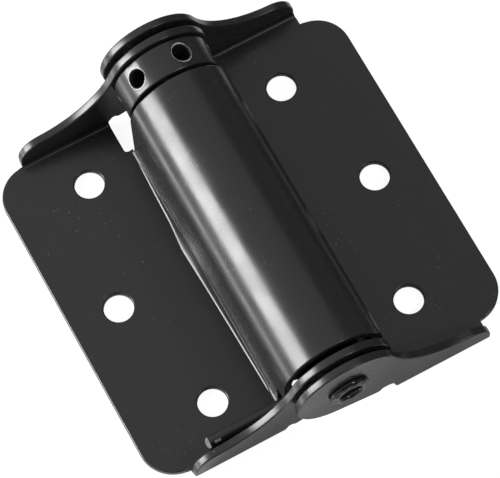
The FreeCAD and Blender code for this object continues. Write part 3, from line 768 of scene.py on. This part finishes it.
def coated(name, colour, roughness, waves, grain, dust):
    """A thin black coat: its colour and roughness, and how uneven and dusty it is."""
    material, tree, shader = new_material(name)
    shader.inputs["IOR"].default_value = COAT_IOR
    tint = tree.nodes.new("ShaderNodeMix")
    tint.data_type = "RGBA"
    tint.inputs["A"].default_value = (*colour, 1)
    tint.inputs["B"].default_value = DUST_COLOUR
    tree.links.new(use_group(tree, DUST, Amount=dust), tint.inputs["Factor"])
    tree.links.new(tint.outputs["Result"], shader.inputs["Base Color"])
    rough = times(tree, use_group(tree, GLOSS, Amount=PATCHY), roughness)
    tree.links.new(rough, shader.inputs["Roughness"])
    tree.links.new(use_group(tree, UNEVEN, Waves=waves, Grain=grain), shader.inputs["Normal"])
    return material, tree, shader


def scratched_rim():
    """The coat with fine scratches that run round the pin."""
    material, tree, shader = coated("pin_coat", (0.008, 0.008, 0.008), 0.15, 0.9, 0.3, 0.3)
    place = tree.nodes.new("ShaderNodeTexCoord")
    shift = tree.nodes.new("ShaderNodeMapping")
    shift.inputs["Location"].default_value = (0, 0, -PIN_Z)
    rings = tree.nodes.new("ShaderNodeTexWave")
    rings.wave_type = "RINGS"
    rings.rings_direction = "Y"
    rings.inputs["Scale"].default_value = 1500
    rings.inputs["Distortion"].default_value = 3.0
    rings.inputs["Detail"].default_value = 2.0
    rings.inputs["Detail Scale"].default_value = 3.0
    tree.links.new(place.outputs["Object"], shift.inputs["Vector"])
    tree.links.new(shift.outputs["Vector"], rings.inputs["Vector"])
    scratches = tree.nodes.new("ShaderNodeBump")
    scratches.inputs["Strength"].default_value = 0.2
    scratches.inputs["Distance"].default_value = 0.01 * MM
    tree.links.new(rings.outputs["Fac"], scratches.inputs["Height"])
    tree.links.new(shader.inputs["Normal"].links[0].from_socket, scratches.inputs["Normal"])
    tree.links.new(scratches.outputs["Normal"], shader.inputs["Normal"])
    return material


coat = coated("black_coat", (0.011, 0.011, 0.0115), 0.26, 0.45, 0.5, 1.0)[0]
wire_coat = coated("wire_coat", (0.013, 0.013, 0.013), 0.32, 0.25, 0.8, 0.7)[0]
pin_coat = scratched_rim()
print("coats:", coat.name, wire_coat.name, pin_coat.name)

# %% Bare steel, and pale steel for painted highlights
STEEL_IOR = 1.5
STEEL_LINES = (2500, 9000, 1500)


def bared_steel(name, dark, light, metallic, roughness):
    """Bare steel with fine upright lines, from a dark to a light grey. It also serves as a painted
    highlight.
    """
    material, tree, shader = new_material(name)
    shader.inputs["Metallic"].default_value = metallic
    shader.inputs["Roughness"].default_value = roughness
    shader.inputs["IOR"].default_value = STEEL_IOR
    place = tree.nodes.new("ShaderNodeTexCoord")
    stretch = tree.nodes.new("ShaderNodeMapping")
    stretch.inputs["Scale"].default_value = STEEL_LINES
    lines = tree.nodes.new("ShaderNodeTexNoise")
    lines.inputs["Scale"].default_value = 1.0
    lines.inputs["Detail"].default_value = 3.0
    tree.links.new(place.outputs["Object"], stretch.inputs["Vector"])
    tree.links.new(stretch.outputs["Vector"], lines.inputs["Vector"])
    ramp = tree.nodes.new("ShaderNodeValToRGB")
    ramp.color_ramp.elements[0].color = grey(dark)
    ramp.color_ramp.elements[1].color = (light, light * 0.98, light * 0.95, 1)
    tree.links.new(lines.outputs["Fac"], ramp.inputs["Fac"])
    tree.links.new(ramp.outputs["Color"], shader.inputs["Base Color"])
    return material


cut_steel = bared_steel("cut_steel", 0.05, 0.16, metallic=0.6, roughness=0.5)
# This pale steel paints highlights: a thin bright ring round the collar's holes and a short bright streak on
# the spring's leg.
painted_highlight_steel = bared_steel("painted_highlight_steel", 0.18, 0.36, metallic=0.15, roughness=0.5)
print("bare steel:", cut_steel.name, painted_highlight_steel.name)

# %% [markdown]
# ## Painting the pieces
#
# Most pieces take one coat all over. Where steel is bare, or where a highlight is painted in pale grey,
# a second material is given to a few faces of the same piece, picked by where they lie and which way
# they face, so that coat and steel meet on an edge of the mesh.


# %% Paint
def paint(piece, *materials):
    piece.data.materials.clear()
    for material in materials:
        piece.data.materials.append(material)


def paint_faces(piece, wanted, slot=1):
    """Gives the faces for which wanted(face) is true another of the piece's materials."""
    only(piece)
    bpy.ops.object.mode_set(mode="EDIT")
    count = pick(piece, "FACE", wanted)
    piece.active_material_index = slot
    bpy.ops.object.material_slot_assign()
    bpy.ops.object.mode_set(mode="OBJECT")
    print(piece.name, "faces in", piece.data.materials[slot].name + ":", count)


washers = [frame["nodes"][name] for name in ("low_washer", "high_washer")]
for piece in (rolled_leaf, riveted_leaf, crease, *washers):
    paint(piece, coat)
paint(pin, pin_coat)
paint(spring, wire_coat, cut_steel, painted_highlight_steel)
paint(collar, coat, painted_highlight_steel)

# %% Bare steel and a painted highlight on the spring
# The way the faces of the painted highlight point, up and to the front.
HIGHLIGHT_WAY = Vector((0, -0.71, 0.71))


def sheared(face):
    """Whether a face is the flat end of the leg."""
    return len(face.verts) == WIRE_SIDES and face.normal.x < -0.8


def in_painted_highlight(face):
    """Whether a face of the leg lies in the painted highlight on its upper front side."""
    middle = face.calc_center_median()
    on_leg = HIGHLIGHT_SPAN[0] * MM < middle.x < HIGHLIGHT_SPAN[1] * MM and middle.z < LEG_Z + WIRE
    return on_leg and face.normal.dot(HIGHLIGHT_WAY) > 0.98


paint_faces(spring, sheared)
paint_faces(spring, in_painted_highlight, 2)

# %% A painted highlight round the collar's holes
HOLES = [(Vector(mount["pos_m"]), Vector(mount["axis"])) for mount in frame["record"]["mounts"]
         if mount["name"].startswith("tension_hole")]
# The faces round each hole's mouth are painted pale grey, as a thin bright highlight.
HOLE_RIM = (1.86 * MM, 2.22 * MM)
HOLE_MOUTH = 2 * MM


def rim_highlight(face):
    """Whether a face of the collar lies on the outer rim of one of its holes, where a highlight is painted.
    """
    for centre, way in HOLES:
        corners = [vertex.co - centre for vertex in face.verts]
        if all(corner.dot(way) > HOLE_MOUTH and HOLE_RIM[0] < corner.cross(way).length < HOLE_RIM[1]
               for corner in corners):
            return True
    return False


paint_faces(collar, rim_highlight)

# %% [markdown]
# ## What moves with what
# Each piece made here but the spring rides on one body of the mechanism. The spring's leg lies on the
# left leaf, and its tang sits in the collar, which follows the right leaf, so the real coil winds up as
# the leaves swing. Here the spring is only baked in place and rides on no body. So when the leaves swing,
# the coil is twisted evenly between them, as the real one winds up.


def belongs(piece, body, slot, *nodes):
    """Puts a piece on a body and hides the CAD solids it stands for. Its slot is not used."""
    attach(piece, body)
    if nodes:
        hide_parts(*nodes)
    print(piece.name, "rides on", body)


belongs(rolled_leaf, "barrel_side", "black_coat", "barrel_leaf", "barrel")
belongs(crease, "barrel_side", "black_coat")
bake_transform(spring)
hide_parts("torsion_spring")
belongs(riveted_leaf, "outer_side", "black_coat", "outer_leaf")
belongs(pin, "outer_side", "black_coat", "hinge_pin")
belongs(collar, "collar", "black_coat", "tension_collar")
